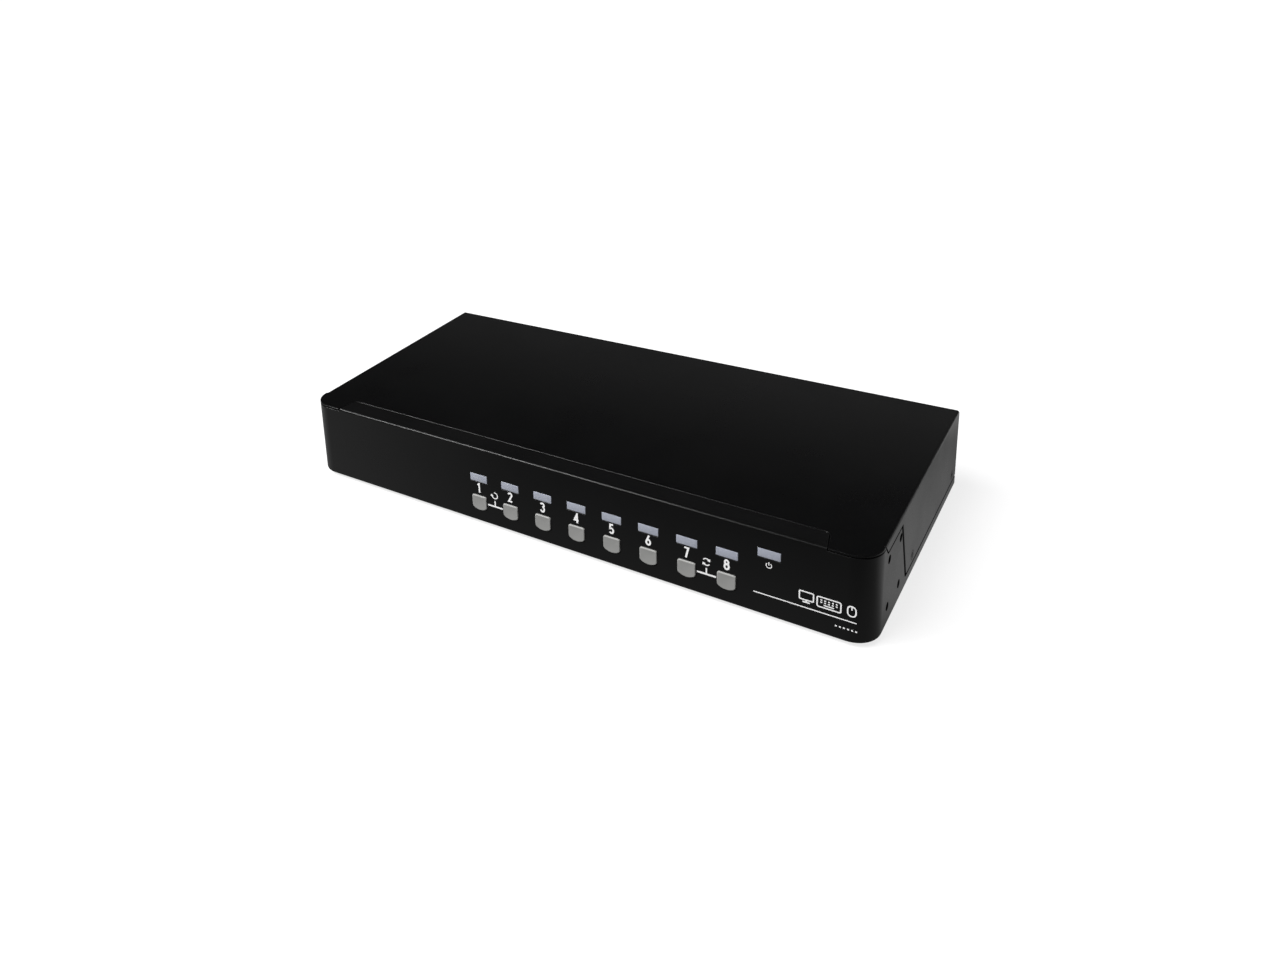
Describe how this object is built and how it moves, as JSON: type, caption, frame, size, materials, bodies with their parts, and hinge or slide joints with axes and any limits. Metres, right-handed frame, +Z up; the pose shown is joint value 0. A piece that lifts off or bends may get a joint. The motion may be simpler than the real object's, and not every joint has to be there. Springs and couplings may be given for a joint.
{
  "type": "kvm switch",
  "caption": "Rack-height keyboard, video and mouse switch: folded steel case, row of sprung port buttons with indicator windows, stacked video ports and console sockets behind.",
  "frame": {"origin": "under the middle of the whole unit, on the plane its four feet stand on", "axes": "+X to the right seen from the front, +Y from the front panel to the rear ports, +Z up"},
  "size_m": [0.32, 0.1616, 0.046],
  "materials": {
    "case_paint": "satin powder coat, near black",
    "cover_paint": "satin powder coat, near black",
    "black_screw": "black oxide",
    "foot_rubber": "matt",
    "button_plastic": "matt moulded",
    "stem_plastic": "matt moulded",
    "black_plastic": "matt moulded",
    "window_plastic": "translucent, light satin",
    "led_resin": "clear resin",
    "board_laminate": "solder mask",
    "zinc_steel": "zinc plated",
    "connector_plate": "bright tin or nickel plate",
    "ribbon_grey": "soft PVC",
    "blue_plastic": "matt moulded",
    "purple_plastic": "matt moulded",
    "green_plastic": "matt moulded",
    "chip_epoxy": "moulded epoxy",
    "capacitor_sleeve": "shrink sleeve",
    "heatsink_aluminium": "extruded",
    "inductor_ferrite": "sintered ferrite"
  },
  "bodies": {
    "case": {"base_chassis": "case_paint", "top_cover": "cover_paint", "cover_screws": "black_screw", "foot_front_left": "foot_rubber", "foot_front_right": "foot_rubber", "foot_rear_left": "foot_rubber", "foot_rear_right": "foot_rubber", "tact_switches": "black_plastic", "switch_domes": "zinc_steel", "port_windows": "window_plastic", "power_window": "window_plastic", "port_leds": "led_resin", "power_led": "led_resin", "front_board": "board_laminate", "front_board_standoffs": "zinc_steel", "front_board_screws": "zinc_steel", "ribbon_cable": "ribbon_grey", "ribbon_plugs": "black_plastic", "ribbon_headers": "black_plastic", "main_board": "board_laminate", "main_board_standoffs": "zinc_steel", "main_board_screws": "zinc_steel", "pc_port_shells": "connector_plate", "pc_port_inserts": "blue_plastic", "pc_port_housings": "black_plastic", "console_port_shell": "connector_plate", "console_port_insert": "blue_plastic", "console_port_housing": "black_plastic", "port_jackscrews": "zinc_steel", "ps2_housing": "black_plastic", "keyboard_socket": "purple_plastic", "mouse_socket": "green_plastic", "usb_shell": "connector_plate", "usb_tongues": "black_plastic", "power_jack": "black_plastic", "power_jack_pin": "connector_plate", "main_processor": "chip_epoxy", "port_chips": "chip_epoxy", "capacitors": "capacitor_sleeve", "crystals": "connector_plate", "buzzer": "black_plastic", "regulator": "chip_epoxy", "heatsink": "heatsink_aluminium", "power_inductor": "inductor_ferrite"},
    "port_button_1": {"button_1": "button_plastic", "switch_stem_1": "stem_plastic"},
    "port_button_2": {"button_2": "button_plastic", "switch_stem_2": "stem_plastic"},
    "port_button_3": {"button_3": "button_plastic", "switch_stem_3": "stem_plastic"},
    "port_button_4": {"button_4": "button_plastic", "switch_stem_4": "stem_plastic"},
    "port_button_5": {"button_5": "button_plastic", "switch_stem_5": "stem_plastic"},
    "port_button_6": {"button_6": "button_plastic", "switch_stem_6": "stem_plastic"},
    "port_button_7": {"button_7": "button_plastic", "switch_stem_7": "stem_plastic"},
    "port_button_8": {"button_8": "button_plastic", "switch_stem_8": "stem_plastic"}
  },
  "joints": [
    {"name": "button_1_press", "type": "slide", "parent": "case", "child": "port_button_1", "axis": [0, 1, 0], "range_m": [0, 0.0005], "stiffness_N_per_m": 150},
    {"name": "button_2_press", "type": "slide", "parent": "case", "child": "port_button_2", "axis": [0, 1, 0], "range_m": [0, 0.0005], "stiffness_N_per_m": 150},
    {"name": "button_3_press", "type": "slide", "parent": "case", "child": "port_button_3", "axis": [0, 1, 0], "range_m": [0, 0.0005], "stiffness_N_per_m": 150},
    {"name": "button_4_press", "type": "slide", "parent": "case", "child": "port_button_4", "axis": [0, 1, 0], "range_m": [0, 0.0005], "stiffness_N_per_m": 150},
    {"name": "button_5_press", "type": "slide", "parent": "case", "child": "port_button_5", "axis": [0, 1, 0], "range_m": [0, 0.0005], "stiffness_N_per_m": 150},
    {"name": "button_6_press", "type": "slide", "parent": "case", "child": "port_button_6", "axis": [0, 1, 0], "range_m": [0, 0.0005], "stiffness_N_per_m": 150},
    {"name": "button_7_press", "type": "slide", "parent": "case", "child": "port_button_7", "axis": [0, 1, 0], "range_m": [0, 0.0005], "stiffness_N_per_m": 150},
    {"name": "button_8_press", "type": "slide", "parent": "case", "child": "port_button_8", "axis": [0, 1, 0], "range_m": [0, 0.0005], "stiffness_N_per_m": 150}
  ]
}
